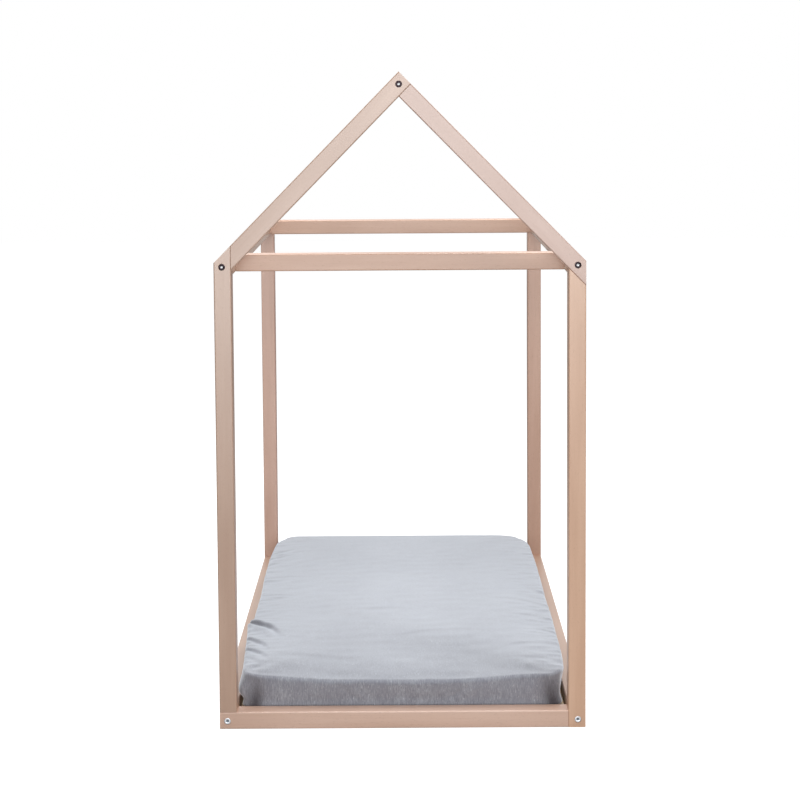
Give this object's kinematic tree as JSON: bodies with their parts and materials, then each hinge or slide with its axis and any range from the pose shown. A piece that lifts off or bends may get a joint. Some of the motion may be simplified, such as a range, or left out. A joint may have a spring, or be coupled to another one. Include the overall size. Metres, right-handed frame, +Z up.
{
  "type": "house frame bed",
  "caption": "Low toddler floor bed with house-shaped end frames of halved wooden battens, side rails, eave beams, ridge beam, crossbars, slatted base and sheeted mattress.",
  "frame": {"origin": "on the floor, below the middle of the bed", "axes": "+Y from the front end frame to the rear one, along the mattress; +Z up; +X to the right seen from the front"},
  "size_m": [0.786, 1.5, 1.405],
  "materials": {
    "beech": "fine-sanded beech with a thin clear matt oil",
    "base_wood": "planed, unfinished",
    "dowel_wood": "turned, glued in",
    "bolt_steel": "zinc-plated, satin",
    "fitting_steel": "zinc-plated",
    "webbing": "woven polyester tape",
    "foam": "foam in a thin white ticking",
    "jersey": "brushed melange cotton jersey"
  },
  "bodies": {
    "frame": {"front_post_left": "beech", "front_post_right": "beech", "rear_post_right": "beech", "rear_post_left": "beech", "front_rafter_left": "beech", "front_rafter_right": "beech", "rear_rafter_right": "beech", "rear_rafter_left": "beech", "front_rail": "beech", "rear_rail": "beech", "side_rail_left": "beech", "side_rail_right": "beech", "eave_beam_left": "beech", "eave_beam_right": "beech", "ridge_beam": "beech", "front_crossbar": "beech", "rear_crossbar": "beech", "ledger_left": "base_wood", "ledger_right": "base_wood", "slat_01": "base_wood", "slat_02": "base_wood", "slat_03": "base_wood", "slat_04": "base_wood", "slat_05": "base_wood", "slat_06": "base_wood", "slat_07": "base_wood", "slat_08": "base_wood", "slat_09": "base_wood", "slat_10": "base_wood", "slat_11": "base_wood", "slat_12": "base_wood", "slat_13": "base_wood", "slat_strap_left": "webbing", "slat_strap_right": "webbing", "upper_bolts": "bolt_steel", "corner_bolts": "bolt_steel", "crossbar_bolts": "bolt_steel", "barrel_nuts": "fitting_steel", "crossbar_nuts": "fitting_steel", "ledger_screws": "fitting_steel", "slat_screws": "fitting_steel", "frame_dowels": "dowel_wood"},
    "mattress": {"mattress_core": "foam", "fitted_sheet": "jersey"}
  },
  "joints": [
    {"name": "mattress_lift", "type": "slide", "parent": "frame", "child": "mattress", "axis": [0, 0, 1], "range_m": [0, 0.3]}
  ]
}
